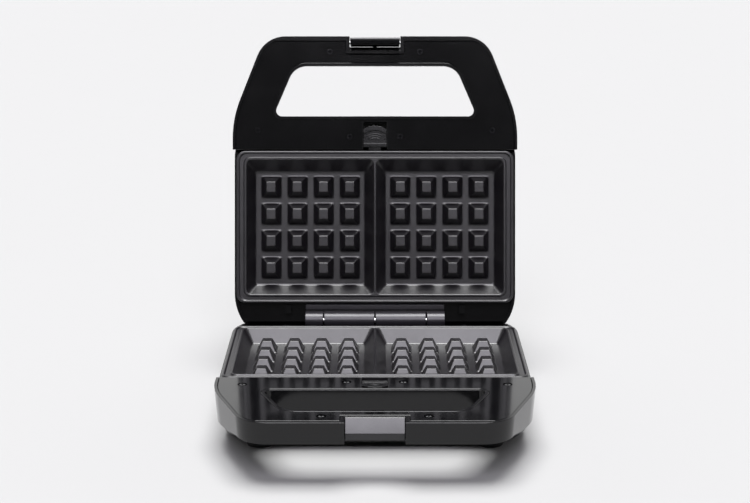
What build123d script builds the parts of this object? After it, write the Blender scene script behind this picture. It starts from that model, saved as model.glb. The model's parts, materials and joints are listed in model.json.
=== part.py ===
from build123d import *
import os
from math import cos, radians, sin

# Waffle maker. Two nearly identical halves face each other across a parting plane that
# holds the hinge axis. Each half is drawn in its own frame: u runs across, v runs from
# the hinge axis to the handle, and w is 0 on the parting plane and negative inwards.

os.makedirs("parts", exist_ok=True)

# Stance of the two halves, mm and degrees
OPEN_ANGLE = 104.6  # lid swing between closed and its open stop
PARTING_HEIGHT = 48.0  # hinge axis above the table
HINGE_BACK = 75.93  # hinge axis behind the middle of the open footprint
GAP = 0.25  # each half stops this far short of the parting plane

# Handle band
BAND_HALF = 117.7
BAND_BACK = 141.0
BEND_V = 167.1
FRONT_HALF = 91.0
REACH = 234.8
BEND_R = 85.0
CORNER_R = 25.0
ARM_DEPTH = 26.0
BELLY_DEPTH = 21.3  # where the sides bend round to the front
FRONT_DEPTH = 16.6
BAND_DRAFT = 4.0
SIDE_RIM = 2.2
FRONT_RIM = 3.7
BAND_FLOOR = 2.2

# Handle opening
OPEN_BACK = 168.6
OPEN_FRONT = 210.0
OPEN_BACK_HALF = 84.2
OPEN_FRONT_HALF = 66.4
LOWER_PINCH = 2.3  # the base's opening is this much narrower at each side
SURROUND = 2.7
LIP_DEPTH = 3.0  # straight part of the opening, beside the cover
SPLAY = 5.4  # growth of its front and sides from the lip to the depth of the body's floor

# Body shell
BODY_HALF = 116.3
BODY_BACK = -21.0
BODY_TOP = 3.4
BODY_DEPTH = 44.0
BACK_CORNER_R = 43.0
FRONT_CORNER_R = 34.0
DRAFT = 4.0
WALL = 2.5
SHELF = 9.2  # depth of the ledge behind the plate that carries the hinge leaf
BACK_SLOPE = 1.2937  # fall of the rear cut that lets the open halves clear each other

# Latch notch
NOTCH_HALF = 21.0
NOTCH_BACK = 223.4
NOTCH_WALL = 3.0
NOTCH_FLOOR = 15.0  # the lid's notch keeps a floor behind the clip
NOTCH_SLOT = 227.6

# Waffle plate
RIM_HALF = 114.5
RIM_BACK = 14.4
RIM_FRONT = 139.9
BEAD_TOP = 0.3
CHANNEL = 1.3
RIM_UNDER = 3.2
MOUTH_IN, MOUTH_OUT = 0.8, 106.4
MOUTH_BACK, MOUTH_FRONT = 21.2, 132.9
FLOOR_IN, FLOOR_OUT = 8.5, 99.5
FLOOR_BACK, FLOOR_FRONT = 28.8, 123.4
POCKET_DEPTH = 11.4
TUB_DEPTH = 14.4
PYRAMIDS = 4
PITCH_U, PITCH_V = 21.75, 22.4
FIRST_U, FIRST_V = 21.0, 43.1
PYRAMID_U, PYRAMID_V = 16.5, 18.0
PYRAMID_TOP = 2.8
PYRAMID_TAPER = 28.4

# Hinge
KNUCKLE_R = 6.9
PIN_R = 2.0
RUN = 0.05  # radial play of a running pin
KNUCKLES = [(-41.8, -0.5), (42.8, 57.5)]
LEAF_HALF = 57.5

# Screws: (u, v) of each, with the radii of shank, head and boss
HANDLE_SCREWS = [(s * u, v) for s in (-1, 1) for u, v in ((97, 156.8), (37.2, 221.9), (20.9, 151.7))]
TRAY_SCREWS = [(s * 60, v) for s in (-1, 1) for v in (45, 115)]
LEAF_SCREWS = [(u, 16.5) for u in (-50, -18, 18, 50)]
FEET = [(-85, 152), (85, 152), (-74, 1), (74, 1)]
SHANK_R = 1.4
HEAD_R = 2.7
BOSS_R = 3.8
FIT = 0.05

# Heat tray and element
TRAY_HALF = 110.2
TRAY_BACK, TRAY_FRONT = 20.8, 135.2
TRAY_TOP, TRAY_BOTTOM = 8.0, 25.0
SHEET = 0.8
ELEMENT_R = 3.3
ELEMENT_DEPTH = 18.2

# Release button
WINDOW_HALF = 9.8
BUTTON_HALF = 9.4
BUTTON_BACK = 143.2
BUTTON_BOTTOM, BUTTON_FACE = 5.5, 2.6
WINDOW_FRONT = 163.9
PLATE_THICK = 2.2

# Latch
CLIP_HALF = 20.3
CLIP_INNER, CLIP_OUTER = 229.1, 231.3
PIVOT_V, PIVOT_W = 230.2, -7.0
KEEPER_LAND = 228.8
LATCH_PIN_R = 1.25

lean = radians(OPEN_ANGLE)
axis_point = (0, HINGE_BACK, PARTING_HEIGHT)
LOWER = Plane(origin=axis_point, x_dir=(-1, 0, 0), z_dir=(0, 0, 1))
UPPER = Plane(origin=axis_point, x_dir=(1, 0, 0), z_dir=(0, -sin(lean), -cos(lean)))


def section(half, u=0):
    """Plane across the half at u, with v and w as its own x and y."""
    return Plane(origin=half.from_local_coords((u, 0, 0)), x_dir=half.y_dir, z_dir=half.x_dir)


def facing(half, v):
    """Plane that faces back to the hinge at v, with u and w as its own x and y."""
    return Plane(origin=half.from_local_coords((0, v, 0)), x_dir=half.x_dir, z_dir=-half.y_dir)


def inward(half):
    """Axis that sorts a half's faces and edges by w."""
    return Axis(half.origin, half.z_dir)


def save(part, name):
    part.label = name
    export_step(part, f"parts/{name}.step")


def rectangle(u0, u1, v0, v1, mode=Mode.ADD):
    """Rectangle between two u values and two v values."""
    with Locations(((u0 + u1) / 2, (v0 + v1) / 2)):
        Rectangle(u1 - u0, v1 - v0, mode=mode)


def profile(points, mode=Mode.ADD):
    """Face with straight sides through the points."""
    Polygon(*points, align=None, mode=mode)


def band_outline(back=BAND_BACK, inset=0.0):
    """Handle band from above: straight front, round corners, sides that splay out."""
    with BuildSketch() as outline:
        with BuildLine():
            edge = FilletPolyline(
                (-BAND_HALF, back),
                (-BAND_HALF, BEND_V),
                (-FRONT_HALF, REACH),
                (FRONT_HALF, REACH),
                (BAND_HALF, BEND_V),
                (BAND_HALF, back),
                radius=[BEND_R, CORNER_R, CORNER_R, BEND_R],
            )
            Line(edge @ 1, edge @ 0)
        make_face()
        if inset:
            offset(amount=-inset)
    return outline.sketch


def opening_outline(half, grow=0.0, splay=0.0):
    """Hand opening: a wide slot whose front corners are round and sides slant."""
    pinch = LOWER_PINCH if half is LOWER else 0
    back_half = OPEN_BACK_HALF - pinch + 1.09 * splay
    front_half = OPEN_FRONT_HALF - pinch + 0.66 * splay
    with BuildSketch() as outline:
        with BuildLine():
            FilletPolyline(
                (-back_half, OPEN_BACK),
                (back_half, OPEN_BACK),
                (front_half, OPEN_FRONT + splay),
                (-front_half, OPEN_FRONT + splay),
                radius=[4.8, 4.8, 15.3, 15.3],
                close=True,
            )
        make_face()
        if grow:
            offset(amount=grow)
    return outline.sketch


def opening_core(half, grow=0.0):
    """Room of the hand opening: straight at the lip, then wider towards the outer face."""
    with BuildPart() as core:
        with BuildSketch(half.offset(-LIP_DEPTH)):
            add(opening_outline(half, grow))
        extrude(amount=LIP_DEPTH + 1)
        with BuildSketch(half.offset(-LIP_DEPTH)):
            add(opening_outline(half, grow))
        with BuildSketch(half.offset(-BODY_DEPTH)):
            add(opening_outline(half, grow, SPLAY))
        loft()
    return core.part


def body_outline(inset=0.0):
    """Body shell from above, round at its four corners."""
    with BuildSketch() as outline:
        with BuildLine():
            FilletPolyline(
                (-BODY_HALF, BODY_BACK),
                (BODY_HALF, BODY_BACK),
                (BODY_HALF, OPEN_BACK),
                (-BODY_HALF, OPEN_BACK),
                radius=[BACK_CORNER_R, BACK_CORNER_R, FRONT_CORNER_R, FRONT_CORNER_R],
                close=True,
            )
        make_face()
        if inset:
            offset(amount=-inset)
    return outline.sketch


def underside(lift=0.0):
    """What lies below the band: its belly rises from the arms to the thin front grip."""
    arm, belly, front = -ARM_DEPTH + lift, -BELLY_DEPTH + lift, -FRONT_DEPTH + lift
    profile(((100, -60), (100, arm), (152, arm), (196, belly), (217, front), (250, front), (250, -60)))


def slope_point(v, lower=0.0):
    """Point of the rear cut at v, moved down by an amount."""
    return (v, BACK_SLOPE * v - lower)


def screw_set(half, name, places, seat, length):
    """Identical cross-head screws, driven along -w with their heads on the seat depth."""
    head_height = 1.3
    with BuildPart() as screws:
        with BuildSketch(half.offset(-seat)):
            with Locations(*places):
                Circle(HEAD_R)
        extrude(amount=head_height)
        chamfer(screws.edges().group_by(inward(half))[-1], 0.35)
        with BuildSketch(half.offset(-seat + head_height)):
            with Locations(*places):
                Rectangle(3.2, 0.7)
                Rectangle(0.7, 3.2)
        extrude(amount=-0.8, mode=Mode.SUBTRACT)
        with BuildSketch(half.offset(-seat)):
            with Locations(*places):
                Circle(SHANK_R)
        extrude(amount=-length)
    save(screws.part, name)


def make_housing(half, name, gland=False, lamps=False):
    """Moulded shell: body, handle band, hand opening, bosses and the latch notch."""
    top = half.offset(-GAP)
    reach = BAND_HALF + 5

    # Solid outer form
    with BuildPart() as outer:
        with BuildSketch(top):
            add(band_outline())
        extrude(amount=-ARM_DEPTH, taper=BAND_DRAFT)
        with BuildSketch(section(half)):
            underside()
        extrude(amount=reach, both=True, mode=Mode.SUBTRACT)
        with BuildSketch(half.offset(-BODY_TOP)):
            add(body_outline())
        extrude(amount=BODY_TOP - BODY_DEPTH, taper=DRAFT)
        bottom = outer.faces().sort_by(inward(half))[0]
        fillet(bottom.edges(), 7)
        with BuildSketch(section(half)):
            clear = 0.9
            profile(((13, 1), (13, -BODY_TOP), slope_point(-2, clear), slope_point(-30, clear), (-30, 1)))
        extrude(amount=reach, both=True, mode=Mode.SUBTRACT)

    # Room inside the body, below the rear ledge
    with BuildPart() as room:
        with BuildSketch(half.offset(-BODY_TOP)):
            add(body_outline(WALL))
        extrude(amount=BODY_TOP + WALL - BODY_DEPTH, taper=DRAFT)
        with BuildSketch(section(half)):
            ledge = -SHELF - WALL
            profile(((-40, 5), (-40, -31), (-17.4, -31), (-2.5, ledge), (200, ledge), (200, 5)))
        extrude(amount=reach, both=True, mode=Mode.SUBTRACT)

    # Pocket behind the plate, open to the slope
    with BuildPart() as pocket:
        with BuildSketch(half.offset(1)):
            add(body_outline(WALL))
        extrude(amount=-BODY_DEPTH)
        with BuildSketch(section(half)):
            profile(((20.3, 1), (20.3, -SHELF), (-1.5, -SHELF), (-18.5, -29.5), (-18.5, 1)))
        extrude(amount=reach, both=True, mode=Mode.INTERSECT)

    # Hollow of the handle band
    with BuildPart() as hollow:
        with BuildSketch(half.offset(1)):
            add(band_outline(BAND_BACK - 10, SIDE_RIM))
            rectangle(-reach, reach, REACH - FRONT_RIM, REACH + 5, Mode.SUBTRACT)
            rectangle(-reach, reach, 0, OPEN_BACK - 30, Mode.SUBTRACT)
        extrude(amount=-ARM_DEPTH - 1, taper=BAND_DRAFT)
        with BuildSketch(section(half)):
            underside(BAND_FLOOR)
        extrude(amount=reach, both=True, mode=Mode.SUBTRACT)

    # Walls and bosses that stand in the hollows
    with BuildPart() as stays:
        add(opening_core(half, SURROUND))
        with BuildSketch(top):
            rectangle(
                -NOTCH_HALF - NOTCH_WALL, NOTCH_HALF + NOTCH_WALL, NOTCH_BACK - NOTCH_WALL, REACH - 1
            )
        extrude(amount=-BODY_DEPTH)
        with BuildSketch(half.offset(-GAP - PLATE_THICK - FIT)):
            with Locations(*HANDLE_SCREWS):
                Circle(BOSS_R)
        extrude(amount=-BODY_DEPTH)
        with BuildSketch(half.offset(-TRAY_BOTTOM - FIT)):
            with Locations(*TRAY_SCREWS):
                Circle(BOSS_R)
        extrude(amount=-BODY_DEPTH)
        with BuildSketch(half.offset(-SHELF)):
            with Locations(*LEAF_SCREWS):
                Circle(BOSS_R - 0.3)
        extrude(amount=-12)
        with BuildSketch(half.offset(-13.65)):
            rectangle(-12.5, 12.5, 149, 151)
            rectangle(-12.5, 12.5, 160, 162)
        extrude(amount=-BODY_DEPTH)
        with BuildSketch(half.offset(-BODY_DEPTH + WALL + 9)):
            with Locations(*FEET):
                Circle(BOSS_R)
        extrude(amount=-BODY_DEPTH)
        add(outer.part, mode=Mode.INTERSECT)

    with BuildPart() as shell:
        add(outer.part)
        add(room.part, mode=Mode.SUBTRACT)
        add(pocket.part, mode=Mode.SUBTRACT)
        add(hollow.part, mode=Mode.SUBTRACT)
        with BuildSketch(half.offset(1)):
            rectangle(WALL - BODY_HALF, BODY_HALF - WALL, 20.3, 150)
        extrude(amount=-SHELF - WALL - 1.5, mode=Mode.SUBTRACT)
        add(stays.part)
        # Hand opening, and latch notch: the base's goes right through, the lid's has a floor
        add(opening_core(half), mode=Mode.SUBTRACT)
        notch_back = NOTCH_BACK if gland else NOTCH_SLOT
        with BuildSketch(half.offset(1)):
            rectangle(-NOTCH_HALF, NOTCH_HALF, notch_back, REACH + 5)
        extrude(amount=-BODY_DEPTH, mode=Mode.SUBTRACT)
        with BuildSketch(half.offset(1)):
            rectangle(-NOTCH_HALF, NOTCH_HALF, NOTCH_BACK, REACH + 5)
        extrude(amount=-NOTCH_FLOOR - 1, mode=Mode.SUBTRACT)
        # Pilot holes
        with BuildSketch(top):
            with Locations(*HANDLE_SCREWS):
                Circle(SHANK_R + FIT)
        extrude(amount=-13, mode=Mode.SUBTRACT)
        with BuildSketch(half.offset(-TRAY_BOTTOM)):
            with Locations(*TRAY_SCREWS):
                Circle(SHANK_R + FIT)
        extrude(amount=-12, mode=Mode.SUBTRACT)
        with BuildSketch(half.offset(-SHELF)):
            with Locations(*LEAF_SCREWS):
                Circle(SHANK_R + FIT)
        extrude(amount=-10.5, mode=Mode.SUBTRACT)
        # Cross holes of the latch pin, or of the keeper's screws
        with BuildSketch(section(half, -NOTCH_HALF - NOTCH_WALL + 0.4)):
            with Locations((PIVOT_V, PIVOT_W)):
                Circle(LATCH_PIN_R + FIT)
        if not gland:
            extrude(amount=2 * (NOTCH_HALF + NOTCH_WALL) - 0.8, mode=Mode.SUBTRACT)
        if gland:
            with BuildSketch(facing(half, NOTCH_BACK + 1)):
                with Locations((-12, -9), (12, -9)):
                    Circle(1.15)
            extrude(amount=NOTCH_WALL + 2, mode=Mode.SUBTRACT)
            with BuildSketch(facing(half, BODY_BACK + 8)):
                with Locations((60, -35)):
                    Circle(4.05)
            extrude(amount=12, mode=Mode.SUBTRACT)
            with BuildSketch(half.offset(-BODY_DEPTH - 1)):
                with Locations(*FEET):
                    Circle(SHANK_R + FIT)
            extrude(amount=11.5, mode=Mode.SUBTRACT)
        if lamps:
            with BuildSketch(half.offset(-BODY_DEPTH - 1)):
                with Locations((-9, 130), (9, 130)):
                    Circle(3.05)
            extrude(amount=6, mode=Mode.SUBTRACT)
    save(shell.part, name)


def make_handle_plate(half, name):
    """Glossy cover let into the band, with counterbored screw holes and a button window."""
    top = half.offset(-GAP)
    with BuildPart(top) as plate:
        with BuildSketch(top):
            add(band_outline(BAND_BACK - 10, SIDE_RIM + 0.4))
            rectangle(-130, 130, REACH - FRONT_RIM - 0.5, REACH + 5, Mode.SUBTRACT)
            rectangle(-130, 130, 100, BAND_BACK - 0.1, Mode.SUBTRACT)
            add(opening_outline(half, SURROUND + 0.2), mode=Mode.SUBTRACT)
            rectangle(-24.2, 24.2, NOTCH_BACK - NOTCH_WALL - 0.7, REACH, Mode.SUBTRACT)
            rectangle(-WINDOW_HALF, WINDOW_HALF, 130, WINDOW_FRONT, Mode.SUBTRACT)
        extrude(amount=-PLATE_THICK)
        upper_edges = plate.edges().group_by(inward(half))[-1]
        chamfer(upper_edges, 0.35)
        with Locations(*HANDLE_SCREWS):
            CounterBoreHole(SHANK_R + 0.3, 3.5, 1.5)
    save(plate.part, name)
    screw_set(half, name.replace("handle_plate", "handle_screws"), HANDLE_SCREWS, GAP + 1.5, 10)


def make_waffle_plate(half, name):
    """Cast plate: beaded rim, two pockets split by a ridge, and four by four pyramids each."""
    with BuildPart() as plate:
        with BuildSketch(half.offset(-RIM_UNDER)):
            rectangle(-RIM_HALF, RIM_HALF, RIM_BACK, RIM_FRONT)
            fillet([v for v in vertices() if v.Y > 100], 6.6)
            fillet([v for v in vertices() if v.Y < 50], 8)
        extrude(amount=RIM_UNDER - BEAD_TOP)
        fillet(plate.edges().group_by(inward(half))[-1], 0.9)
        with BuildSketch(half.offset(-CHANNEL)):
            rectangle(-RIM_HALF + 2.3, RIM_HALF - 2.3, RIM_BACK + 2.2, RIM_FRONT - 2.2)
            fillet(vertices(), 5)
            rectangle(
                -MOUTH_OUT - 1.6, MOUTH_OUT + 1.6, MOUTH_BACK - 1.6, MOUTH_FRONT + 1.6, Mode.SUBTRACT
            )
        extrude(amount=3, mode=Mode.SUBTRACT)
        with BuildSketch(half.offset(-RIM_UNDER + 0.2)):
            rectangle(-108.6, 108.6, 19.6, 135.0)
            fillet(vertices(), 6)
        with BuildSketch(half.offset(-TUB_DEPTH)):
            rectangle(-102.5, 102.5, 25.8, 126.4)
            fillet(vertices(), 3)
        loft()
        for side in (-1, 1):
            mouth = sorted((side * MOUTH_IN, side * MOUTH_OUT))
            floor = sorted((side * FLOOR_IN, side * FLOOR_OUT))
            grow = 0.5 * (MOUTH_OUT - FLOOR_OUT) / POCKET_DEPTH
            with BuildSketch(half.offset(0.5 - BEAD_TOP)):
                rectangle(mouth[0] - grow, mouth[1] + grow, MOUTH_BACK - grow, MOUTH_FRONT + grow)
                fillet(vertices(), 4.2)
            with BuildSketch(half.offset(-POCKET_DEPTH)):
                rectangle(*floor, FLOOR_BACK, FLOOR_FRONT)
                fillet(vertices(), 1.8)
            loft(mode=Mode.SUBTRACT)
            middle = FIRST_U + 1.5 * PITCH_U
            with BuildSketch(half.offset(-POCKET_DEPTH - 0.2)):
                with Locations((side * middle, FIRST_V + 1.5 * PITCH_V)):
                    with GridLocations(PITCH_U, PITCH_V, PYRAMIDS, PYRAMIDS):
                        Rectangle(PYRAMID_U, PYRAMID_V)
            extrude(amount=POCKET_DEPTH - PYRAMID_TOP + 0.2, taper=PYRAMID_TAPER)
        # Front tab held by the release button, and two rear lugs held by the hooks
        with BuildSketch(half.offset(-5.8)):
            rectangle(-7, 7, 130, RIM_FRONT + 1)
        extrude(amount=-1.8)
        with BuildSketch(half.offset(-4.4)):
            for side in (-1, 1):
                rectangle(side * 72 - 5, side * 72 + 5, 8.6, 22)
        extrude(amount=-1.8)
    save(plate.part, name)


def make_heat_tray(half, name):
    """Pressed steel pan under the plate, screwed down through its floor."""
    with BuildPart() as tray:
        with BuildSketch(half.offset(-TRAY_TOP)):
            rectangle(-TRAY_HALF, TRAY_HALF, TRAY_BACK, TRAY_FRONT)
            fillet(vertices(), 6)
        extrude(amount=TRAY_TOP - TRAY_BOTTOM)
        open_face = tray.faces().sort_by(inward(half))[-1]
        offset(amount=-SHEET, openings=open_face)
        with BuildSketch(half.offset(-TRAY_BOTTOM - 1)):
            with Locations(*TRAY_SCREWS):
                Circle(SHANK_R + 0.3)
        extrude(amount=4, mode=Mode.SUBTRACT)
    save(tray.part, name)
    screws = name.replace("heat_tray", "tray_screws")
    screw_set(half, screws, TRAY_SCREWS, TRAY_BOTTOM - SHEET, 9)


def make_element(half, name):
    """Tubular heater bent into a loop, its cold pins facing each other at the back."""
    level = half.offset(-ELEMENT_DEPTH)
    with BuildPart() as element:
        with BuildLine(level) as path:
            FilletPolyline(
                (-22, 34), (-88, 34), (-88, 117), (88, 117), (88, 34), (22, 34), radius=14
            )
        with BuildSketch(section(half, -22)):
            with Locations((34, -ELEMENT_DEPTH)):
                Circle(ELEMENT_R)
        sweep(path=path.wire())
        for side in (-1, 1):
            with BuildSketch(section(half, side * 22)):
                with Locations((34, -ELEMENT_DEPTH)):
                    Circle(1.3)
            extrude(amount=-side * 10)
    save(element.part, name)

    saddles = name.replace("heating_element", "element_saddles")
    with BuildPart() as blocks:
        with BuildSketch(half.offset(-TRAY_BOTTOM + SHEET + FIT)):
            with Locations((-88, 75), (88, 75)):
                Rectangle(10, 9)
            with Locations((-40, 117), (40, 117)):
                Rectangle(9, 10)
        extrude(amount=TRAY_BOTTOM - SHEET - ELEMENT_DEPTH - FIT)
        for side in (-1, 1):
            with BuildSketch(facing(half, 90)):
                with Locations((side * 88, -ELEMENT_DEPTH)):
                    Circle(ELEMENT_R + FIT)
            extrude(amount=30, mode=Mode.SUBTRACT)
        with BuildSketch(section(half)):
            with Locations((117, -ELEMENT_DEPTH)):
                Circle(ELEMENT_R + FIT)
        extrude(amount=60, both=True, mode=Mode.SUBTRACT)
    save(blocks.part, saddles)


def make_hinge_leaf(half, name):
    """Leaf with an upright bar and two knuckles; turned round, the same leaf meshes with it."""
    with BuildPart() as leaf:
        with BuildSketch(half.offset(-SHELF + 0.02)):
            rectangle(-LEAF_HALF, LEAF_HALF, -2, 19.8)
        extrude(amount=1.9)
        with BuildSketch(half.offset(-SHELF + 1)):
            rectangle(-LEAF_HALF, LEAF_HALF, 8.6, 12.6)
        extrude(amount=SHELF - 4.2)
        for start, end in KNUCKLES:
            with BuildSketch(section(half, start)):
                Circle(KNUCKLE_R)
                with Locations((0.9, -4.0)):
                    Rectangle(9.6, 7.2)
            extrude(amount=end - start)
        with BuildSketch(section(half, -LEAF_HALF - 1)):
            Circle(PIN_R + RUN)
        extrude(amount=2 * LEAF_HALF + 2, mode=Mode.SUBTRACT)
        with BuildSketch(half.offset(-SHELF - 1)):
            with Locations(*LEAF_SCREWS):
                Circle(SHANK_R + 0.3)
        extrude(amount=4, mode=Mode.SUBTRACT)
    save(leaf.part, name)
    screws = name.replace("hinge_leaf", "hinge_screws")
    screw_set(half, screws, LEAF_SCREWS, SHELF - 1.95, 8)


def make_plate_hooks(half, name):
    """Two hooks at the back that hold the plate's rear lugs."""
    with BuildPart() as hooks:
        with BuildSketch(section(half)):
            foot = 0.05 - SHELF
            profile(((5.5, foot), (7.9, foot), (7.9, -3.9), (12.3, -3.9), (12.3, -2.4), (5.5, -2.4)))
        extrude(amount=74.6, both=True)
        with BuildSketch(half.offset(0)):
            rectangle(-69.4, 69.4, 0, 20)
        extrude(amount=-SHELF, mode=Mode.SUBTRACT)
    save(hooks.part, name)


def make_release_button(half, name):
    """Sliding button whose tongue holds the plate's front tab, with its guide and spring."""
    bow = ((-9.4, 157.8), (-5, 160.2), (0, 161.1), (5, 160.2), (9.4, 157.8))
    with BuildPart() as button:
        # Slab with a bowed front end, and the wings that keep it under the cover
        with BuildSketch(half.offset(-BUTTON_BOTTOM)):
            profile(((BUTTON_HALF, BUTTON_BACK), (-BUTTON_HALF, BUTTON_BACK), *bow))
        extrude(amount=BUTTON_BOTTOM - BUTTON_FACE)
        with BuildSketch(half.offset(-BUTTON_BOTTOM)):
            rectangle(-11.6, 11.6, BUTTON_BACK, 157)
        extrude(amount=2.4)
        # Bowed finger ridge, cross bar, and three curved ribs between them
        with BuildSketch(half.offset(-BUTTON_FACE)):
            profile((*bow, (9.4, 154.1), (4.7, 156.4), (0, 157.4), (-4.7, 156.4), (-9.4, 154.1)))
        extrude(amount=1.7)
        with BuildSketch(half.offset(-BUTTON_FACE)):
            rectangle(-BUTTON_HALF, BUTTON_HALF, 143.6, 146.4)
        extrude(amount=0.8)
        with BuildSketch(half.offset(-BUTTON_FACE)):
            for reach in (11.2, 9.5, 7.8):
                with Locations((0, 142.9)):
                    Circle(reach + 0.4)
                    Circle(reach - 0.4, mode=Mode.SUBTRACT)
            profile(((0, 142.9), (9, 155.8), (-9, 155.8)), Mode.INTERSECT)
        extrude(amount=0.5)
        # Tongue over the plate's tab, and the lug that the spring bears on
        with BuildSketch(half.offset(-5.5)):
            rectangle(-5, 5, 138.6, 143.4)
        extrude(amount=1.9)
        with BuildSketch(half.offset(-5.4)):
            rectangle(-3, 3, 147, 149.5)
        extrude(amount=-5.6)
    save(button.part, name)

    guide = name.replace("release_button", "button_guide")
    with BuildPart() as track:
        with BuildSketch(half.offset(-13.6)):
            rectangle(-14, 14, 146, 165)
        extrude(amount=10.6)
        with BuildSketch(half.offset(-12)):
            rectangle(-12.1, 12.1, 140, 163)
        extrude(amount=12, mode=Mode.SUBTRACT)
        with BuildSketch(half.offset(-6)):
            rectangle(-20, 20, 163, 170)
        extrude(amount=6, mode=Mode.SUBTRACT)
    save(track.part, guide)
    with BuildPart() as coil:
        axis = -half.y_dir
        start = half.from_local_coords((0, 162.5, -8.7))
        wire = Helix(2.1, 12.6, 2.2, center=start, direction=axis)
        with BuildSketch(Plane(origin=wire @ 0, z_dir=wire % 0)):
            Circle(0.3)
        sweep(path=wire)
    save(coil.part, name.replace("release_button", "button_spring"))


def make_half(half, side, base):
    """Every piece that both halves carry."""
    make_housing(half, f"{side}_housing", gland=base, lamps=not base)
    make_handle_plate(half, f"{side}_handle_plate")
    make_waffle_plate(half, f"{side}_waffle_plate")
    make_heat_tray(half, f"{side}_heat_tray")
    make_element(half, f"{side}_heating_element")
    make_hinge_leaf(half, f"{side}_hinge_leaf")
    make_plate_hooks(half, f"{side}_plate_hooks")
    make_release_button(half, f"{side}_release_button")


make_half(LOWER, "lower", True)
make_half(UPPER, "upper", False)

# Hinge pin, pressed in flush with the outer knuckles
with BuildPart() as hinge_pin:
    with BuildSketch(section(LOWER, 0.2 - LEAF_HALF)):
        Circle(PIN_R)
    extrude(amount=2 * LEAF_HALF - 0.4)
    chamfer(hinge_pin.edges(), 0.4)
save(hinge_pin.part, "hinge_pin")

# Latch keeper: wedge insert that fills the base's notch, with a sheer land under its ramp
with BuildPart() as latch_keeper:
    with BuildSketch(section(LOWER)):
        profile(((223.6, -0.4), (224.2, -0.4), (KEEPER_LAND, -10.7), (KEEPER_LAND, -15.6),
                 (226.0, -15.6), (225.0, -16.6), (223.6, -16.6)))
    extrude(amount=NOTCH_HALF - 0.3, both=True)
    with BuildSketch(facing(LOWER, 223)):
        with Locations((-12, -9), (12, -9)):
            Circle(1.1)
    extrude(amount=-4.2, mode=Mode.SUBTRACT)
save(latch_keeper.part, "latch_keeper")

with BuildPart() as keeper_screws:
    with BuildSketch(facing(LOWER, NOTCH_BACK - NOTCH_WALL - 0.02)):
        with Locations((-12, -9), (12, -9)):
            Circle(2.2)
    extrude(amount=1.3)
    with BuildSketch(facing(LOWER, NOTCH_BACK - NOTCH_WALL - 0.02)):
        with Locations((-12, -9), (12, -9)):
            Circle(1.05)
    extrude(amount=-6.4)
save(keeper_screws.part, "keeper_screws")

# Latch clip on the lid: a plate on a pivot, with a hook that goes under the keeper
with BuildPart() as latch_clip:
    with BuildSketch(section(UPPER)):
        with BuildLine():
            FilletPolyline(
                (CLIP_INNER, -16.2), (CLIP_OUTER, -16.2), (CLIP_OUTER, 19.0), (229.2, 19.0),
                (226.7, 16.6), (226.7, 16.0), (CLIP_INNER, 16.0),
                radius=[0.8, 0.8, 1.3, 1.2, 0.25, 0.2, 0.3], close=True,
            )
        make_face()
        with Locations((PIVOT_V, PIVOT_W)):
            Circle(3.4)
    extrude(amount=CLIP_HALF, both=True)
    with BuildSketch(section(UPPER, -CLIP_HALF - 1)):
        with Locations((PIVOT_V, PIVOT_W)):
            Circle(LATCH_PIN_R + RUN)
    extrude(amount=2 * CLIP_HALF + 2, mode=Mode.SUBTRACT)
save(latch_clip.part, "latch_clip")

with BuildPart() as latch_pin:
    with BuildSketch(section(UPPER, -NOTCH_HALF - 2.4)):
        with Locations((PIVOT_V, PIVOT_W)):
            Circle(LATCH_PIN_R)
    extrude(amount=2 * (NOTCH_HALF + 2.4))
save(latch_pin.part, "latch_pin")

with BuildPart() as latch_spring:
    coil_path = Helix(
        1.3, 4.9, 1.7, center=UPPER.from_local_coords((0, 228.8, -12.65)), direction=-UPPER.y_dir
    )
    with BuildSketch(Plane(origin=coil_path @ 0, z_dir=coil_path % 0)):
        Circle(0.25)
    sweep(path=coil_path)
save(latch_spring.part, "latch_spring")

# Rubber feet with recessed screws
with BuildPart() as feet:
    with BuildSketch(LOWER.offset(-PARTING_HEIGHT)):
        with Locations(*FEET):
            Circle(9.8)
    extrude(amount=PARTING_HEIGHT - BODY_DEPTH - 0.01, taper=-12)
    with BuildSketch(LOWER.offset(-PARTING_HEIGHT)):
        with Locations(*FEET):
            Circle(3.4)
    extrude(amount=2.2, mode=Mode.SUBTRACT)
    with BuildSketch(LOWER.offset(-PARTING_HEIGHT)):
        with Locations(*FEET):
            Circle(SHANK_R + 0.3)
    extrude(amount=5, mode=Mode.SUBTRACT)
save(feet.part, "feet")

with BuildPart() as foot_screws:
    seat = LOWER.offset(-PARTING_HEIGHT + 2.2)
    with BuildSketch(seat):
        with Locations(*FEET):
            Circle(HEAD_R)
    extrude(amount=-1.2)
    with BuildSketch(seat):
        with Locations(*FEET):
            Circle(SHANK_R)
    extrude(amount=9)
save(foot_screws.part, "foot_screws")

# Cord bush in the rear wall: a flanged ring, empty because no lead is fitted
with BuildPart() as cord_bush:
    with BuildSketch(facing(LOWER, BODY_BACK + 6)):
        with Locations((60, -35)):
            Circle(4.0)
    extrude(amount=7.6)
    with BuildSketch(facing(LOWER, BODY_BACK + 6)):
        with Locations((60, -35)):
            Circle(2.6)
    extrude(amount=10, mode=Mode.SUBTRACT)
save(cord_bush.part, "cord_bush")

# Terminal block where the lead meets the heaters' wiring
with BuildPart() as terminal_block:
    with BuildSketch(LOWER.offset(-BODY_DEPTH + WALL + 0.05)):
        rectangle(28, 52, 4, 18)
    extrude(amount=9)
    chamfer(terminal_block.edges().group_by(Axis.Z)[-1], 0.8)
    with BuildSketch(LOWER.offset(-BODY_DEPTH + WALL + 10)):
        with Locations((40, 11)):
            with GridLocations(8, 8, 3, 2):
                Circle(1.6)
    extrude(amount=-5, mode=Mode.SUBTRACT)
save(terminal_block.part, "terminal_block")

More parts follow.
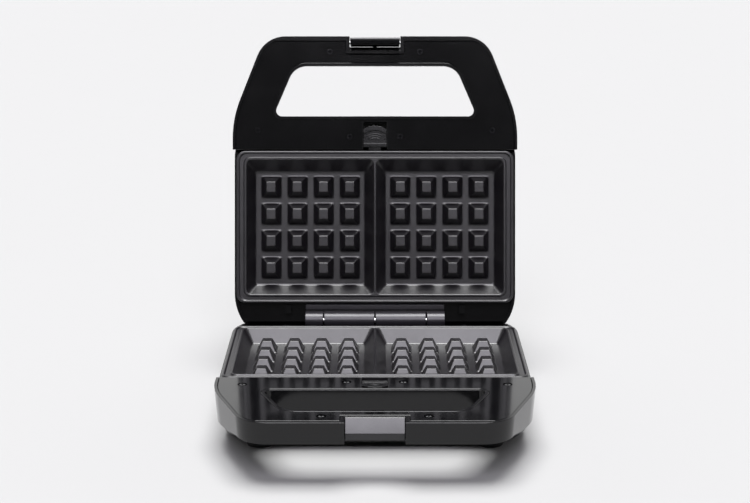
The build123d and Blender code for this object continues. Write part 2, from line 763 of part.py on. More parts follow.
# Thermostat and thermal fuse, in the lid's tray and on its back
with BuildPart() as thermostat:
    with BuildSketch(UPPER.offset(-TRAY_BOTTOM + SHEET + FIT)):
        with Locations((0, 62)):
            Circle(8.5)
            Rectangle(26, 6)
    extrude(amount=1.2)
    with BuildSketch(UPPER.offset(-TRAY_BOTTOM + SHEET + 1)):
        with Locations((0, 62)):
            Circle(8)
    extrude(amount=7.6)
save(thermostat.part, "thermostat")

with BuildPart() as thermal_fuse:
    with BuildSketch(section(UPPER, -52)):
        with Locations((80, -28.2)):
            Circle(2.1)
    extrude(amount=20)
    with BuildSketch(section(UPPER, -62)):
        with Locations((80, -28.2)):
            Circle(0.6)
    extrude(amount=40)
save(thermal_fuse.part, "thermal_fuse")

# Indicator lenses in the lid's outer face, one for power and one for ready
for place, label in ((-9, "power_lens"), (9, "ready_lens")):
    with BuildPart() as lens:
        with BuildSketch(UPPER.offset(-BODY_DEPTH + WALL + 1.2)):
            with Locations((place, 130)):
                Circle(4)
        extrude(amount=-1.15)
        with BuildSketch(UPPER.offset(-BODY_DEPTH + WALL + 0.5)):
            with Locations((place, 130)):
                Circle(2.95)
        extrude(amount=-WALL - 0.3)
    save(lens.part, label)
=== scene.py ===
import json
from math import cos, pi, radians, sin, tan

import bmesh
import bpy
from mathutils import Matrix, Vector


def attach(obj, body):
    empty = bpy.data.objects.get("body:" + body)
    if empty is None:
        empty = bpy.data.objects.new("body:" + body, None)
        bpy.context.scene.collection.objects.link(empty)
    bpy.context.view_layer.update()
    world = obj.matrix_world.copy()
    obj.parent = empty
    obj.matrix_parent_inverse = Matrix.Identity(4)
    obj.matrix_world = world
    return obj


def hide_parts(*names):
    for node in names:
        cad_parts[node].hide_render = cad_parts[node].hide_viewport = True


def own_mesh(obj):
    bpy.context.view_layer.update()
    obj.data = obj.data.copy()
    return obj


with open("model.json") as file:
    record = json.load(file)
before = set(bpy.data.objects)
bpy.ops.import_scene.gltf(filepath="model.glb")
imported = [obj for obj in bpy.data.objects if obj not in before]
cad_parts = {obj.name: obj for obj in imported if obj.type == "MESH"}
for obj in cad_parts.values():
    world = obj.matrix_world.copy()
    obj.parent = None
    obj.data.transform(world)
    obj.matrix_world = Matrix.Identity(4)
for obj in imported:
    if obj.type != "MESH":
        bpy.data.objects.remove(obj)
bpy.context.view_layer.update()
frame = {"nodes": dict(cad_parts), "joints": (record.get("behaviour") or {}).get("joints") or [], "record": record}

MM = 0.001

# ---------------------------------------------------------------- the two halves

hinge = next(j for j in frame["joints"] if j["name"] == "lid_hinge")
HINGE_AT = Vector(hinge["pos_m"])
SWING = radians(hinge["range_deg"][1])


def half_matrix(across, along, out):
    """Half frame to row frame: u across, v from hinge to handle, w out of the plate."""
    turn = Matrix((across, along, out)).transposed().to_4x4()
    return Matrix.Translation(HINGE_AT) @ turn


HALVES = {
    "lower": half_matrix(Vector((-1, 0, 0)), Vector((0, -1, 0)), Vector((0, 0, 1))),
    "upper": half_matrix(
        Vector((1, 0, 0)), Vector((0, -cos(SWING), sin(SWING))), Vector((0, -sin(SWING), -cos(SWING)))
    ),
}
BODY = {"lower": "base", "upper": "lid"}


def placed(name, data):
    """Object at the origin of the scene."""
    thing = bpy.data.objects.new(name, data)
    bpy.context.scene.collection.objects.link(thing)
    return thing


# ---------------------------------------------------------------- materials


def colour(code):
    """Linear RGBA of an sRGB hex colour."""
    parts = [int(code[i : i + 2], 16) / 255 for i in (1, 3, 5)]
    return [c / 12.92 if c <= 0.04045 else ((c + 0.055) / 1.055) ** 2.4 for c in parts] + [1.0]


def add_node(tree, kind, links=(), values=(), **settings):
    """New node with its settings; links map an input to an output socket, values to a constant."""
    node = tree.nodes.new(kind)
    for key, value in settings.items():
        setattr(node, key, value)
    for key, value in dict(values).items():
        node.inputs[key].default_value = value
    for key, source in dict(links).items():
        tree.links.new(source, node.inputs[key])
    return node


def ramp(tree, value, low, high):
    """Smooth step of a socket from 0 at one value to 1 at another."""
    return add_node(
        tree, "ShaderNodeMapRange", {"Value": value}, {"From Min": low, "From Max": high},
        interpolation_type="SMOOTHSTEP",
    ).outputs["Result"]


def combine(tree, operation, first, second):
    """Sum or product of two sockets."""
    return add_node(tree, "ShaderNodeMath", {0: first, 1: second}, operation=operation).outputs["Value"]


def scaled(tree, value, factor):
    """A socket times a constant."""
    return add_node(tree, "ShaderNodeMath", {0: value}, {1: factor}, operation="MULTIPLY").outputs["Value"]


RUBBED_MM, RELIEF_DEPTH_MM = 38, 0.1


def finish(name, tint, rough, spread, grain_mm, tone, relief_mm, bump, pits=0.0, along=(1, 1, 1), **shader):
    """Principled finish: mottled tint, uneven gloss with larger rubbed patches, fine relief with pits."""
    material = bpy.data.materials.new(name)
    material.use_nodes = True
    tree = material.node_tree
    tree.nodes.clear()
    raw = add_node(tree, "ShaderNodeTexCoord").outputs["Object"]
    place = add_node(tree, "ShaderNodeMapping", {"Vector": raw}, {"Scale": along}).outputs["Vector"]
    mottle = add_node(
        tree, "ShaderNodeTexNoise", {"Vector": place},
        {"Scale": 1 / (grain_mm * MM), "Detail": 4.0, "Roughness": 0.6},
    ).outputs["Fac"]
    base = colour(tint)
    light = [min(c * (1 + tone), 1) for c in base[:3]] + [1]
    dark = [c * (1 - tone) for c in base[:3]] + [1]
    shade = add_node(tree, "ShaderNodeMix", {"Factor": mottle}, {6: dark, 7: light}, data_type="RGBA")
    rubbed = add_node(
        tree, "ShaderNodeTexNoise", {"Vector": raw}, {"Scale": 1 / (RUBBED_MM * MM), "Detail": 3.0},
    ).outputs["Fac"]
    patches = add_node(
        tree, "ShaderNodeMapRange", {"Value": rubbed},
        {"From Min": 0.35, "From Max": 0.7, "To Min": rough - 0.6 * spread, "To Max": rough + 0.6 * spread},
    ).outputs["Result"]
    uneven = add_node(
        tree, "ShaderNodeMapRange", {"Value": mottle},
        {"From Min": 0.3, "From Max": 0.7, "To Min": -0.6 * spread, "To Max": 0.6 * spread},
    ).outputs["Result"]
    gloss = add_node(tree, "ShaderNodeMath", {0: patches, 1: uneven}, operation="ADD", use_clamp=True)
    skin = add_node(
        tree, "ShaderNodeTexNoise", {"Vector": place}, {"Scale": 1 / (relief_mm * MM), "Detail": 2.0},
    ).outputs["Fac"]
    cells = add_node(
        tree, "ShaderNodeTexVoronoi", {"Vector": place}, {"Scale": 1 / (1.6 * relief_mm * MM)},
    ).outputs["Distance"]
    sunk = add_node(
        tree, "ShaderNodeMath", {0: cells, 2: skin}, {1: pits}, operation="MULTIPLY_ADD",
    ).outputs["Value"]
    relief = add_node(
        tree, "ShaderNodeBump", {"Height": sunk}, {"Strength": bump, "Distance": RELIEF_DEPTH_MM * MM}
    ).outputs["Normal"]
    surface = add_node(
        tree, "ShaderNodeBsdfPrincipled",
        {"Base Color": shade.outputs[2], "Roughness": gloss.outputs["Value"], "Normal": relief}, shader,
    )
    add_node(tree, "ShaderNodeOutputMaterial", {"Surface": surface.outputs["BSDF"]})
    return material


SOFT = {"Specular IOR Level": 0.4}

MATERIALS = {
    # Spark-eroded mould: black with a close grain of pits that softens long reflections a little
    "moulded_plastic": finish(
        "spark_textured_black_abs", "#070708", 0.14, 0.02, 8, 0.1, 0.35, 0.06, 0.5, **SOFT),
    # Polished mould: near-black, clear reflections, a slow orange peel over several millimetres
    "gloss_plastic": finish("polished_black_abs", "#050506", 0.1, 0.02, 20, 0.05, 4.0, 0.02),
    # Satin mould, a shade lighter, so the clip's nose reads apart from the handle
    "clip_plastic": finish("satin_moulded_black_abs", "#0b0b0d", 0.17, 0.03, 6, 0.06, 0.4, 0.05, **SOFT),
    # Finer grain where a thumb slides it: the arcs stand out by their edges only
    "button_plastic": finish("fine_grained_black_abs", "#0d0d0e", 0.21, 0.03, 5, 0.06, 0.3, 0.06, 0.4),
    # Smooth bearing surface for the hook: evenly glossy, mirrors the light as one pale panel
    "keeper_insert": finish("smooth_moulded_acetal", "#19191b", 0.1, 0.02, 9, 0.05, 0.5, 0.02),
    # Two sprayed coats on a casting: satin, faintly violet black, orange peel and tiny pits
    "nonstick_cast": finish(
        "sprayed_nonstick_on_cast_aluminium", "#0a080c", 0.34, 0.04, 3, 0.18, 0.5, 0.16, 0.6,
        **{"Specular IOR Level": 0.62}),
    # Rolled sheet: cool grey drawn out along the rolling direction, streaky gloss
    "aluminised_steel": finish(
        "rolled_aluminised_steel", "#b9bab8", 0.35, 0.06, 6, 0.06, 0.6, 0.1, 0.2, (0.12, 1, 1), Metallic=1.0),
    # Heated tube: brown-grey oxide in blotches, dull
    "element_sheath": finish(
        "oxidised_incoloy_sheath", "#6d6762", 0.45, 0.08, 4, 0.14, 0.5, 0.1, 0.3, Metallic=1.0),
    # Die-cast leaf under satin paint: violet-grey with long soft highlights down the knuckles
    "grey_hinge": finish(
        "satin_painted_die_cast_zinc", "#1f1d22", 0.34, 0.03, 4, 0.06, 0.4, 0.08, 0.2, Metallic=0.3),
    # Centreless ground rod: bright, with grinding marks round it
    "bright_pin": finish(
        "centreless_ground_steel", "#a8a8a8", 0.28, 0.05, 3, 0.04, 0.5, 0.04, 0.0, (4, 1, 1), Metallic=1.0),
    # Blackened screws: dark heads whose cross edges give the only glints
    "zinc_screws": finish(
        "black_passivated_zinc_steel", "#161618", 0.2, 0.04, 2, 0.08, 0.3, 0.05, 0.2, Metallic=0.5),
    # Oil-hardened wire: dark blue-grey with fine drawing lines
    "spring_steel": finish(
        "oil_hardened_drawn_wire", "#2c2d30", 0.3, 0.05, 2, 0.06, 0.3, 0.05, 0.0, (1, 1, 3), Metallic=0.9),
    # Compression-moulded rubber: matt black, slightly dusty in the grain
    "rubber": finish("compression_moulded_rubber", "#101011", 0.75, 0.05, 4, 0.15, 0.4, 0.2, 0.8),
    # Unfilled nylon: warm white, waxy, lets a little light in
    "white_nylon": finish(
        "moulded_natural_nylon", "#d9d6cc", 0.5, 0.04, 5, 0.03, 0.5, 0.1, 0.2, **{"Subsurface Weight": 0.15}),
    # Clear tinted lenses: deep colour under a glassy surface
    "red_lens": finish(
        "polished_red_polycarbonate", "#8e1410", 0.1, 0.02, 5, 0.05, 1, 0.02, **{"Coat Weight": 0.5}),
    "green_lens": finish(
        "polished_green_polycarbonate", "#1d6b2c", 0.1, 0.02, 5, 0.05, 1, 0.02, **{"Coat Weight": 0.5}),
}

for row in frame["record"]["subparts"]:
    node = frame["nodes"][row["node"]]
    node.data.materials.clear()
    node.data.materials.append(MATERIALS[row["material_slot"]])

# ---------------------------------------------------------------- mesh tools


def rounded(points, radii, steps=3):
    """Open polyline in a plane with its inner corners turned into arcs of the given radii."""
    path = [Vector(points[0])]
    for before, corner, after, radius in zip(points, points[1:], points[2:], radii):
        corner = Vector(corner)
        back = (Vector(before) - corner).normalized()
        on = (Vector(after) - corner).normalized()
        half_turn = back.angle(on) / 2
        reach = radius / tan(half_turn)
        centre = corner + (back + on).normalized() * radius / sin(half_turn)
        start = (corner + back * reach - centre).normalized()
        end = (corner + on * reach - centre).normalized()
        for k in range(steps + 1):
            path.append(centre + start.slerp(end, k / steps, start) * radius)
    path.append(Vector(points[-1]))
    return path


def rectangle_ring(sides, radius, level, steps=6):
    """Points of a round-cornered rectangle (u0, u1, v0, v1) at one level."""
    u0, u1, v0, v1 = sides
    corners = ((u1 - radius, v1 - radius), (u0 + radius, v1 - radius),
               (u0 + radius, v0 + radius), (u1 - radius, v0 + radius))
    ring = []
    for quarter, (u, v) in enumerate(corners):
        for k in range(steps + 1):
            angle = pi / 2 * (quarter + k / steps)
            ring.append((u + radius * cos(angle), v + radius * sin(angle), level))
    return ring


def between(first, second, share):
    """Sides part of the way from one rectangle to another, and past either end."""
    return tuple(a + (b - a) * share for a, b in zip(first, second))


def loft(rings, start_cap=False, end_cap=False):
    """Vertices and faces of a skin over rings with equal counts."""
    count = len(rings[0])
    verts = [p for ring in rings for p in ring]
    faces = []
    for row in range(len(rings) - 1):
        low, high = row * count, (row + 1) * count
        for k in range(count):
            n = (k + 1) % count
            faces.append((low + k, low + n, high + n, high + k))
    if start_cap:
        faces.append(tuple(reversed(range(count))))
    if end_cap:
        faces.append(tuple(range(len(verts) - count, len(verts))))
    return verts, faces


def mesh_of(name, verts, faces, scale=MM):
    """Mesh of vertices and faces, scaled from millimetres to metres unless told otherwise."""
    mesh = bpy.data.meshes.new(name)
    mesh.from_pydata([Vector(v) * scale for v in verts], [], faces)
    return mesh


def show(name, mesh, material, sharp=35):
    """Object for a finished mesh, smooth but for edges sharper than the angle."""
    piece = placed(name, mesh)
    mesh.materials.clear()
    mesh.materials.append(MATERIALS[material])
    mesh.shade_smooth()
    mesh.set_sharp_from_angle(angle=radians(sharp))
    return piece


def settle(piece, body, slot, *nodes):
    """The piece rides on its body and stands for its CAD nodes; slot is not used."""
    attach(piece, body)
    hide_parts(*nodes)
    return piece


def even_normals(piece):
    """Flat faces keep their own direction where they meet narrow rounded edges."""
    weigh = piece.modifiers.new("flat_faces", "WEIGHTED_NORMAL")
    weigh.keep_sharp = True
    weigh.weight = 60


# ---------------------------------------------------------------- geometry nodes


def tree_inputs(tree, sockets):
    """Adds named inputs to a geometry tree and returns its input node."""
    tree.interface.new_socket("Geometry", in_out="INPUT", socket_type="NodeSocketGeometry")
    for name, kind in sockets:
        tree.interface.new_socket(name, in_out="INPUT", socket_type=kind)
    tree.interface.new_socket("Geometry", in_out="OUTPUT", socket_type="NodeSocketGeometry")
    return add_node(tree, "NodeGroupInput").outputs


def close_tree(tree, geometry, material):
    """Ends a tree with Realize Instances and Set Material."""
    real = add_node(tree, "GeometryNodeRealizeInstances", {"Geometry": geometry})
    painted = add_node(
        tree, "GeometryNodeSetMaterial", {"Geometry": real.outputs["Geometry"], "Material": material}
    )
    add_node(tree, "NodeGroupOutput", {"Geometry": painted.outputs["Geometry"]})


def pyramid_tree():
    """Studs on a grid: rows and columns of one instanced pyramid."""
    tree = bpy.data.node_groups.new("pyramid_field", "GeometryNodeTree")
    given = tree_inputs(tree, (
        ("Columns", "NodeSocketInt"), ("Rows", "NodeSocketInt"),
        ("Pitch across", "NodeSocketFloat"), ("Pitch along", "NodeSocketFloat"),
        ("Middle", "NodeSocketVector"), ("Pyramid", "NodeSocketObject"), ("Coating", "NodeSocketMaterial"),
    ))
    spans = []
    for count, pitch in (("Columns", "Pitch across"), ("Rows", "Pitch along")):
        gaps = add_node(tree, "ShaderNodeMath", {0: given[count]}, {1: 1.0}, operation="SUBTRACT")
        spans.append(combine(tree, "MULTIPLY", gaps.outputs["Value"], given[pitch]))
    grid = add_node(tree, "GeometryNodeMeshGrid", {
        "Size X": spans[0], "Size Y": spans[1], "Vertices X": given["Columns"], "Vertices Y": given["Rows"]})
    moved = add_node(
        tree, "GeometryNodeTransform", {"Geometry": grid.outputs["Mesh"], "Translation": given["Middle"]}
    )
    stud = add_node(tree, "GeometryNodeObjectInfo", {"Object": given["Pyramid"]})
    field = add_node(tree, "GeometryNodeInstanceOnPoints", {
        "Points": moved.outputs["Geometry"], "Instance": stud.outputs["Geometry"]})
    close_tree(tree, field.outputs["Instances"], given["Coating"])
    return tree


def screw_tree():
    """Cross-head screws: one at each point of the mesh given, heads up."""
    tree = bpy.data.node_groups.new("cross_head_screws", "GeometryNodeTree")
    given = tree_inputs(tree, (
        ("Head radius", "NodeSocketFloat"), ("Head height", "NodeSocketFloat"),
        ("Shank radius", "NodeSocketFloat"), ("Shank length", "NodeSocketFloat"),
        ("Cross length", "NodeSocketFloat"), ("Cross width", "NodeSocketFloat"),
        ("Steel", "NodeSocketMaterial"),
    ))

    def lifted(geometry, height, turn=(0, 0, 0)):
        at = add_node(tree, "ShaderNodeCombineXYZ", {"Z": height})
        return add_node(
            tree, "GeometryNodeTransform", {"Geometry": geometry, "Translation": at.outputs["Vector"]},
            {"Rotation": turn},
        ).outputs["Geometry"]

    head = add_node(tree, "GeometryNodeMeshCone", {
        "Radius Bottom": given["Head radius"], "Radius Top": scaled(tree, given["Head radius"], 0.86),
        "Depth": given["Head height"]}, {"Vertices": 28})
    cut = head.outputs["Mesh"]
    long, wide, eighth = given["Cross length"], given["Cross width"], radians(45)
    for x, y, turn in ((long, wide, (eighth, 0, 0)), (wide, long, (0, eighth, 0))):
        size = add_node(tree, "ShaderNodeCombineXYZ", {"X": x, "Y": y, "Z": wide})
        arm = add_node(tree, "GeometryNodeMeshCube", {"Size": size.outputs["Vector"]}).outputs["Mesh"]
        groove = lifted(arm, given["Head height"], turn)
        cut = add_node(
            tree, "GeometryNodeMeshBoolean", {"Mesh 1": cut, "Mesh 2": groove},
            operation="DIFFERENCE", solver="EXACT",
        ).outputs["Mesh"]
    shank = add_node(tree, "GeometryNodeMeshCylinder", {
        "Radius": given["Shank radius"], "Depth": given["Shank length"]}, {"Vertices": 16})
    low = lifted(shank.outputs["Mesh"], scaled(tree, given["Shank length"], -0.5))
    join = add_node(tree, "GeometryNodeJoinGeometry")
    tree.links.new(cut, join.inputs["Geometry"])
    tree.links.new(low, join.inputs["Geometry"])
    screws = add_node(tree, "GeometryNodeInstanceOnPoints", {
        "Points": given["Geometry"], "Instance": join.outputs["Geometry"]})
    close_tree(tree, screws.outputs["Instances"], given["Steel"])
    return tree


def coil_tree():
    """Round wire wound into an open coil that stands on its base."""
    tree = bpy.data.node_groups.new("wound_coil", "GeometryNodeTree")
    given = tree_inputs(tree, (
        ("Coil radius", "NodeSocketFloat"), ("Wire radius", "NodeSocketFloat"),
        ("Length", "NodeSocketFloat"), ("Turns", "NodeSocketFloat"), ("Wire", "NodeSocketMaterial"),
    ))
    spiral = add_node(tree, "GeometryNodeCurveSpiral", {
        "Rotations": given["Turns"], "Start Radius": given["Coil radius"],
        "End Radius": given["Coil radius"], "Height": given["Length"]}, {"Resolution": 20})
    ring = add_node(
        tree, "GeometryNodeCurvePrimitiveCircle", {"Radius": given["Wire radius"]}, {"Resolution": 8}
    )
    wire = add_node(
        tree, "GeometryNodeCurveToMesh",
        {"Curve": spiral.outputs["Curve"], "Profile Curve": ring.outputs["Curve"]}, {"Fill Caps": True},
    )
    close_tree(tree, wire.outputs["Mesh"], given["Wire"])
    return tree


def grow(name, tree, values, place, points=()):
    """Mesh that a geometry tree makes from its named values, moved to its place."""
    holder = placed(name, mesh_of(name, points, [], 1.0))
    modifier = holder.modifiers.new(name, "NODES")
    modifier.node_group = tree
    names = {item.name: item.identifier for item in tree.interface.items_tree if item.in_out == "INPUT"}
    for key, value in values.items():
        modifier[names[key]] = value
    graph = bpy.context.evaluated_depsgraph_get()
    mesh = bpy.data.meshes.new_from_object(holder.evaluated_get(graph))
    mesh.transform(place)
    bpy.data.objects.remove(holder)
    return mesh


# ---------------------------------------------------------------- waffle plates

RIM = (-114.5, 114.5, 14.4, 139.9)
MOUTHS = (-106.4, 106.4, 21.2, 132.9)
MOUTH = (0.8, 106.4, 21.2, 132.9)
FLOOR = (8.5, 99.5, 28.8, 123.4)
PLATE_TOP, CHANNEL, RIM_UNDER, POCKET_FLOOR, TUB_UNDER = -0.3, -1.2, -3.2, -11.4, -14.4
PITCH = (21.75, 22.4)
FIELD_MIDDLE = (53.625, 76.7)
RIM_WIDTH, RIM_RADII = 8.0, (0.7, 0.5, 0.35, 0.3, 0.35)
TUB_FLOOR, TUB_MOUTH = (-102.5, 102.5, 25.8, 126.4), (-108.6, 108.6, 19.6, 135.0)
WALL_RUN, WALL_RADII = 7.8, (0.8, 2.2)
PYRAMID_BASE, PYRAMID_TOP = (-7.95, 7.95, -8.7, 8.7), (-3.75, 3.75, -4.2, 4.2)
PYRAMID_RUN, PYRAMID_RADII = 4.2, (1.6, 0.65)
PYRAMID_SINK, PYRAMID_SKIRT, PYRAMID_BELOW = 2.8, 1.2, 0.3


def mirrored(sides):
    """The same rectangle in the other pocket."""
    u0, u1, v0, v1 = sides
    return (-u1, -u0, v0, v1)


def plate_mesh():
    """Cast plate without its pyramids, in the half frame: beaded rim and two sloping pockets."""
    # Tub, then the rim from its outer edge to its inner bead, with x the distance inwards
    outline = [(0.0, RIM_UNDER), (0.0, PLATE_TOP), (1.7, PLATE_TOP), (2.6, CHANNEL),
               (5.7, CHANNEL), (6.4, PLATE_TOP), (7.3, PLATE_TOP)]
    rings = [rectangle_ring(TUB_FLOOR, 3, TUB_UNDER), rectangle_ring(TUB_MOUTH, 6, RIM_UNDER)]
    for x, w in rounded(outline, RIM_RADII):
        share = x / RIM_WIDTH
        rings.append(rectangle_ring(between(RIM, MOUTHS, share), 6.8 - 1.9 * share, w))
    verts, faces = loft(rings, start_cap=True)
    frame_mesh = bmesh.new()
    plain = mesh_of("plate", verts, faces, 1.0)
    frame_mesh.from_mesh(plain)
    # Pockets: lip, sloping wall, floor
    wall = [(-0.7, PLATE_TOP), (0.0, PLATE_TOP), (WALL_RUN, POCKET_FLOOR), (WALL_RUN + 1.6, POCKET_FLOOR)]
    for mouth, ground in ((MOUTH, FLOOR), (mirrored(MOUTH), mirrored(FLOOR))):
        pocket = []
        for x, w in rounded(wall, WALL_RADII, 5):
            share = x / WALL_RUN
            pocket.append(rectangle_ring(between(mouth, ground, share), max(4.2 - 2.2 * share, 1.2), w))
        verts, faces = loft(pocket, end_cap=True)
        plain = mesh_of("plate", verts, faces, 1.0)
        frame_mesh.from_mesh(plain)
    # Flat land between the rim's inner bead and the two lips
    bmesh.ops.remove_doubles(frame_mesh, verts=frame_mesh.verts, dist=0.001)
    rims = [e for e in frame_mesh.edges if e.is_boundary]
    bmesh.ops.triangle_fill(frame_mesh, edges=rims, use_beauty=True, use_dissolve=False, normal=(0, 0, 1))
    bmesh.ops.recalc_face_normals(frame_mesh, faces=frame_mesh.faces)
    bmesh.ops.scale(frame_mesh, vec=(MM, MM, MM), verts=frame_mesh.verts)
    mesh = bpy.data.meshes.new("plate")
    frame_mesh.to_mesh(mesh)
    frame_mesh.free()
    return mesh


def pyramid_mesh():
    """One pyramid with eased edges and a hollow fillet at its foot, standing on zero."""
    run, height = PYRAMID_RUN, -POCKET_FLOOR - PYRAMID_SINK
    side = [(-PYRAMID_SKIRT, 0.03), (0.0, 0.03), (run, height), (run + 1.2, height)]
    skirt = between(PYRAMID_BASE, PYRAMID_TOP, -PYRAMID_SKIRT / run)
    rings = [rectangle_ring(skirt, 2.2, -PYRAMID_BELOW, 3)]
    for x, w in rounded(side, PYRAMID_RADII, 5):
        share = x / run
        sides = between(PYRAMID_BASE, PYRAMID_TOP, share)
        rings.append(rectangle_ring(sides, max(1.5 - 0.8 * share, 0.5), w, 3))
    return mesh_of("pyramid", *loft(rings, end_cap=True))


def waffle_plates():
    """Both coated plates, with a field of pyramids in each pocket."""
    pyramid = placed("pyramid", pyramid_mesh())
    pyramid.data.shade_smooth()
    tree = pyramid_tree()
    for half, place in HALVES.items():
        coated = bmesh.new()
        coated.from_mesh(plate_mesh())
        for side in (-1, 1):
            field = grow("pyramids", tree, {
                "Columns": 4, "Rows": 4, "Pitch across": PITCH[0] * MM, "Pitch along": PITCH[1] * MM,
                "Middle": Vector((side * FIELD_MIDDLE[0], FIELD_MIDDLE[1], POCKET_FLOOR)) * MM,
                "Pyramid": pyramid, "Coating": MATERIALS["nonstick_cast"]}, Matrix.Identity(4))
            coated.from_mesh(field)
        mesh = bpy.data.meshes.new(f"{half}_coated_plate")
        coated.to_mesh(mesh)
        coated.free()
        mesh.transform(place)
        piece = show(f"{half}_coated_plate", mesh, "nonstick_cast", 50)
        even_normals(piece)
        settle(piece, BODY[half], "nonstick_cast", f"{half}_waffle_plate")
    bpy.data.objects.remove(pyramid)


waffle_plates()

# ---------------------------------------------------------------- screws and springs

HANDLE_SCREWS = [(side * u, v) for side in (-1, 1) for u, v in ((97, 156.8), (37.2, 221.9), (20.9, 151.7))]
SCREW_SEAT = -1.75
SCREW_MM = {
    "Head radius": 2.7, "Head height": 1.3, "Shank radius": 1.4, "Shank length": 10,
    "Cross length": 3.4, "Cross width": 1.1,
}
BUTTON_COIL_AT, BUTTON_COIL_END = Vector((0, 162.8, -8.7)), Vector((0, 163, -8.7))
BUTTON_COIL_MM, BUTTON_COIL_TURNS = {"Coil radius": 2.2, "Wire radius": 0.3, "Length": 13}, 6.0
LATCH_COIL_AT = Vector((0, 228.0, -12.65))
LATCH_COIL_MM, LATCH_COIL_TURNS = {"Coil radius": 1.7, "Wire radius": 0.25, "Length": 4.3}, 4.0


def metres(sizes):
    """Named sizes from millimetres to metres."""
    return {name: size * MM for name, size in sizes.items()}


def handle_screws():
    """Six cross-head screws in each handle plate."""
    tree = screw_tree()
    for half, place in HALVES.items():
        seats = [Vector((u, v, SCREW_SEAT)) * MM for u, v in HANDLE_SCREWS]
        values = {**metres(SCREW_MM), "Steel": MATERIALS["zinc_screws"]}
        mesh = grow("screws", tree, values, place, seats)
        piece = show(f"{half}_cross_head_screws", mesh, "zinc_screws", 30)
        settle(piece, BODY[half], "zinc_screws", f"{half}_handle_screws")


handle_screws()


def springs():
    """Coils behind the release buttons, and one behind the latch."""
    tree = coil_tree()
    along = Matrix.Rotation(radians(90), 4, "X")

    def coil(name, place, at, sizes, turns):
        values = {**metres(sizes), "Turns": turns, "Wire": MATERIALS["spring_steel"]}
        mesh = grow("coil", tree, values, place @ Matrix.Translation(at * MM) @ along)
        return show(name, mesh, "spring_steel", 60)

    for half, place in HALVES.items():
        name = f"{half}_button_coil"
        piece = coil(name, place, BUTTON_COIL_AT, BUTTON_COIL_MM, BUTTON_COIL_TURNS)
        settle(piece, BODY[half], "spring_steel", f"{half}_button_spring")
        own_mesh(piece)
    piece = coil("latch_coil", HALVES["upper"], LATCH_COIL_AT, LATCH_COIL_MM, LATCH_COIL_TURNS)
    settle(piece, "lid", "spring_steel", "latch_spring")


springs()

# ---------------------------------------------------------------- eased shells and fittings

WELD_MM, EASED_ANGLE = 0.002, 18


def eased(node, material, width):
    """A CAD node's own form with every hard edge rounded over by a small radius."""
    name = f"{node}_eased"
    mesh = frame["nodes"][node].data.copy()
    mesh.name = name
    form = bmesh.new()
    form.from_mesh(mesh)
    bmesh.ops.remove_doubles(form, verts=form.verts, dist=WELD_MM * MM)
    bmesh.ops.dissolve_limit(
        form, angle_limit=radians(0.6), verts=form.verts, edges=form.edges, use_dissolve_boundaries=False
    )
    form.to_mesh(mesh)
    form.free()
    piece = show(name, mesh, material, 60)
    ease = piece.modifiers.new("eased_edges", "BEVEL")
    ease.width = width * MM
    ease.segments = 2
    ease.limit_method = "ANGLE"
    ease.angle_limit = radians(EASED_ANGLE)
    ease.use_clamp_overlap = False
    ease.miter_outer = "MITER_ARC"
    even_normals(piece)
    return piece


# Node, its body, its finish and the radius of its edges
EASED = (
    ("lower_housing", "base", "moulded_plastic", 0.2), ("upper_housing", "lid", "moulded_plastic", 0.2),
    ("lower_hinge_leaf", "base", "grey_hinge", 0.3), ("upper_hinge_leaf", "lid", "grey_hinge", 0.3),
    ("latch_keeper", "base", "keeper_insert", 0.3), ("latch_clip", "latch", "clip_plastic", 0.3),
    ("lower_release_button", "lower_button", "button_plastic", 0.15),
    ("upper_release_button", "upper_button", "button_plastic", 0.15),
)
for node, body, material, width in EASED:
    settle(eased(node, material, width), body, material, node)

# ---------------------------------------------------------------- camera, floor, light

CAMERA_AT = Vector((0, -1166.5, 435.2)) * MM
CAMERA_TILT = 14.81
LENS_MM = 75.45
FLOOR_REACH = 40.0
OVERHEAD, FRONT, WALLS, GLOOM = 20.0, 8.2, 1.0, 0.11
FRONT_TINT = "#f9f6ff"
# Where each light fades in, as parts of the direction looked in
OVERHEAD_Z = (0.91, 0.97)
FRONT_FOOT_Z, FRONT_HEAD_Z, FRONT_SIDE_X, FRONT_Y = (0.42, 0.455), (0.88, 0.82), (0.34, 0.22), (0.0, -0.1)
WALLS_Y, WALLS_Z = (-0.35, 0.25), (0.62, 0.35)

camera = placed("camera", bpy.data.cameras.new("camera"))
camera.data.lens = LENS_MM
camera.data.sensor_width = 36.0
camera.data.clip_start, camera.data.clip_end = 0.05, 60
camera.location = CAMERA_AT
camera.rotation_euler = (radians(90 - CAMERA_TILT), 0, 0)
bpy.context.scene.camera = camera


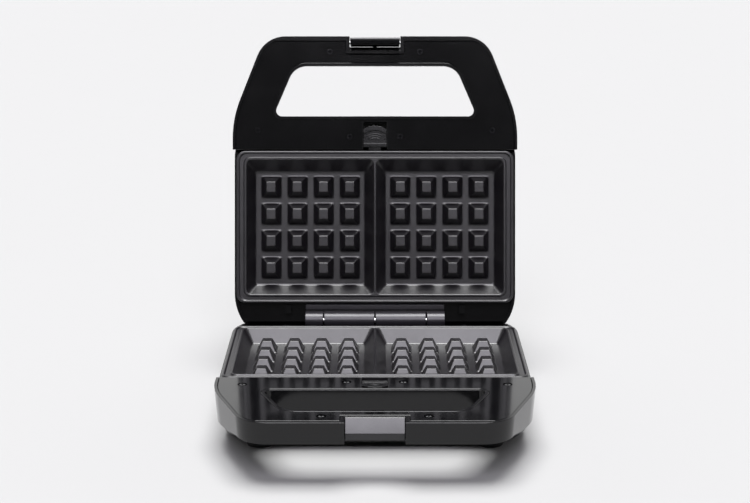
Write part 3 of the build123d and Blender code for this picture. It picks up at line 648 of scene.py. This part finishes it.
def floor():
    """Seamless pale sweep, wide enough to fill the view from any side."""
    mesh = bpy.data.meshes.new("floor")
    corners = [(x * FLOOR_REACH, y * FLOOR_REACH, 0) for x, y in ((-1, -1), (1, -1), (1, 1), (-1, 1))]
    mesh.from_pydata(corners, [], [(0, 1, 2, 3)])
    piece = placed("floor", mesh)
    mesh.materials.append(finish(
        "painted_sweep", "#929292", 0.9, 0.02, 400, 0.004, 5, 0.0, **{"Specular IOR Level": 0.1}))


floor()


def studio():
    """White room: a large light overhead, a softbox high in front, pale walls behind and beside."""
    world = bpy.data.worlds.new("studio")
    bpy.context.scene.world = world
    world.use_nodes = True
    tree = world.node_tree
    tree.nodes.clear()
    way = add_node(tree, "ShaderNodeTexCoord").outputs["Generated"]
    axes = add_node(tree, "ShaderNodeSeparateXYZ", {"Vector": way}).outputs
    sideways = add_node(tree, "ShaderNodeMath", {0: axes["X"]}, operation="ABSOLUTE").outputs["Value"]
    overhead = scaled(tree, ramp(tree, axes["Z"], *OVERHEAD_Z), OVERHEAD)
    foot, head = ramp(tree, axes["Z"], *FRONT_FOOT_Z), ramp(tree, axes["Z"], *FRONT_HEAD_Z)
    tall = combine(tree, "MULTIPLY", foot, head)
    wide = combine(tree, "MULTIPLY", ramp(tree, sideways, *FRONT_SIDE_X), ramp(tree, axes["Y"], *FRONT_Y))
    front = scaled(tree, combine(tree, "MULTIPLY", tall, wide), FRONT)
    wall = combine(tree, "MULTIPLY", ramp(tree, axes["Y"], *WALLS_Y), ramp(tree, axes["Z"], *WALLS_Z))
    walls = scaled(tree, wall, WALLS)
    room = add_node(
        tree, "ShaderNodeMath", {0: combine(tree, "ADD", overhead, walls)}, {1: GLOOM}, operation="ADD",
    ).outputs["Value"]
    white = add_node(
        tree, "ShaderNodeBackground", {"Strength": room}, {"Color": (1, 1, 1, 1)}
    ).outputs["Background"]
    cool = add_node(
        tree, "ShaderNodeBackground", {"Strength": front}, {"Color": colour(FRONT_TINT)}
    ).outputs["Background"]
    both = add_node(tree, "ShaderNodeAddShader", {0: white, 1: cool})
    add_node(tree, "ShaderNodeOutputWorld", {"Surface": both.outputs["Shader"]})


studio()

bpy.context.scene.view_settings.view_transform = "Standard"
